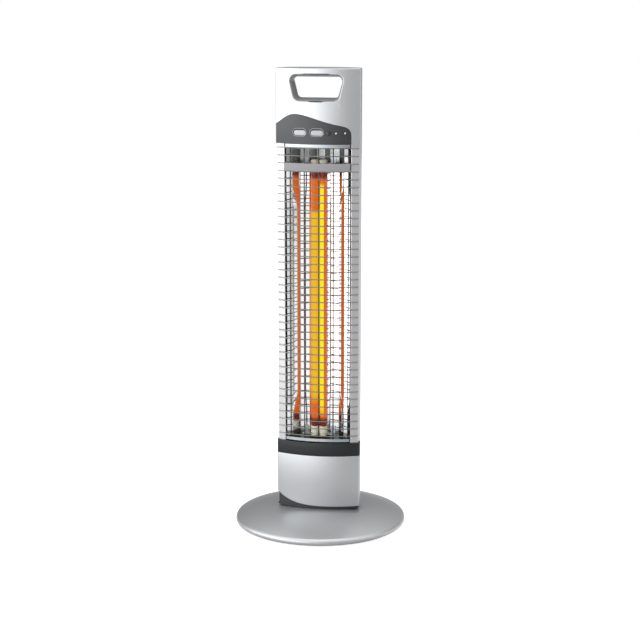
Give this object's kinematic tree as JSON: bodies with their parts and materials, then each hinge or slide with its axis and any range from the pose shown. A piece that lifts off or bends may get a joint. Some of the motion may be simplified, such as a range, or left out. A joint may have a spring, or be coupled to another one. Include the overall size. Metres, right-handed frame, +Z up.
{
  "type": "carbon tower heater",
  "caption": "Slim bowed tower heater with twin glowing tubes behind a wire guard, a carry slot in its head, and a round base it swings on.",
  "frame": {"origin": "on the floor, on the axis that the tower swings about, at the centre of the round base", "axes": "+Z up along the tower, -Y is the front that faces the room, +X is to the right seen from the front"},
  "size_m": [0.3, 0.2999, 0.8],
  "materials": {
    "silver_moulding": "silver lacquer, satin gloss",
    "dark_moulding": "dark grey, satin",
    "black_moulding": "black, matte",
    "grip_grey": "dark grey, fine grain",
    "plate_steel": "zinc plated",
    "rail_steel": "silver powder coat",
    "cast_weight": "rough cast",
    "foot_rubber": "matte",
    "gland_rubber": "matte",
    "screw_zinc": "bright zinc",
    "turned_steel": "turned",
    "clip_steel": "blued",
    "washer_nylon": "waxy",
    "motor_can": "drawn",
    "gear_nylon": "waxy",
    "spring_steel": "drawn wire",
    "chrome_wire": "bright chrome",
    "band_steel": "grey lacquer",
    "mirror_sheet": "bright rolled",
    "bracket_steel": "rolled",
    "quartz": "clear fused quartz",
    "carbon": "glowing carbon",
    "cap_ceramic": "unglazed",
    "button_silver": "silver lacquer",
    "lens_smoke": "dark red smoke",
    "lens_clear": "clear",
    "board_green": "lacquered laminate",
    "switch_black": "matte",
    "relay_blue": "moulded case",
    "sleeve_red": "silicone sleeve",
    "clip_nylon": "waxy"
  },
  "bodies": {
    "base": {"base_cover": "silver_moulding", "base_plate": "plate_steel", "ballast_ring": "cast_weight", "rubber_feet": "foot_rubber", "base_screws": "screw_zinc", "cord_gland": "gland_rubber", "pivot_post": "turned_steel", "pivot_retainer": "clip_steel", "bearing_washer": "washer_nylon", "swing_motor": "motor_can", "tip_switch": "switch_black", "tip_spring": "spring_steel"},
    "pinion": {"drive_pinion": "gear_nylon"},
    "tip": {"tip_plunger": "gear_nylon"},
    "tower": {"swivel_hub": "black_moulding", "sector_gear": "gear_nylon", "gear_screws": "screw_zinc", "chassis_plate": "plate_steel", "chassis_screws": "screw_zinc", "cover_screws": "screw_zinc", "skirt_cover": "silver_moulding", "trim_band": "dark_moulding", "rear_housing": "silver_moulding", "housing_screws": "screw_zinc", "left_rail": "rail_steel", "right_rail": "rail_steel", "head_cover": "silver_moulding", "grip_liner": "grip_grey", "control_panel": "dark_moulding", "receiver_lens": "lens_smoke", "indicator_lenses": "lens_clear", "control_board": "board_green", "button_switches": "switch_black", "board_relays": "relay_blue", "reflector": "mirror_sheet", "lower_end_plate": "mirror_sheet", "upper_end_plate": "mirror_sheet", "tube_holders": "bracket_steel", "left_quartz_tube": "quartz", "right_quartz_tube": "quartz", "left_carbon_strip": "carbon", "right_carbon_strip": "carbon", "ceramic_caps": "cap_ceramic", "lead_springs": "spring_steel", "guard_horizontals": "chrome_wire", "guard_uprights": "chrome_wire", "guard_band": "band_steel", "thermal_cutout": "cap_ceramic", "wire_harness": "sleeve_red", "harness_clips": "clip_nylon"},
    "power": {"power_button": "button_silver"},
    "swing": {"swing_button": "button_silver"}
  },
  "joints": [
    {"name": "tower_swing", "type": "hinge", "parent": "base", "child": "tower", "pos_m": [0, 0, 0.021], "axis": [0, 0, 1], "range_deg": [-35, 35]},
    {"name": "pinion_spin", "type": "hinge", "parent": "base", "child": "pinion", "pos_m": [0, 0.06, 0.0232], "axis": [0, 0, 1], "range_deg": [-141, 141]},
    {"name": "power_press", "type": "slide", "parent": "tower", "child": "power", "axis": [0.1642, 0.9864, 0], "range_m": [0, 0.0015], "stiffness_N_per_m": 300, "springref_m": -0.002},
    {"name": "swing_press", "type": "slide", "parent": "tower", "child": "swing", "axis": [-0.0028, 1, 0], "range_m": [0, 0.0015], "stiffness_N_per_m": 300, "springref_m": -0.002},
    {"name": "tip_travel", "type": "slide", "parent": "base", "child": "tip", "axis": [0, 0, -1], "range_m": [0, 0.004], "stiffness_N_per_m": 40, "springref_m": 0.012, "deforming": ["tip_spring"]}
  ],
  "couplings": [
    {"joint": "pinion_spin", "follows": "tower_swing", "ratio": -4}
  ]
}
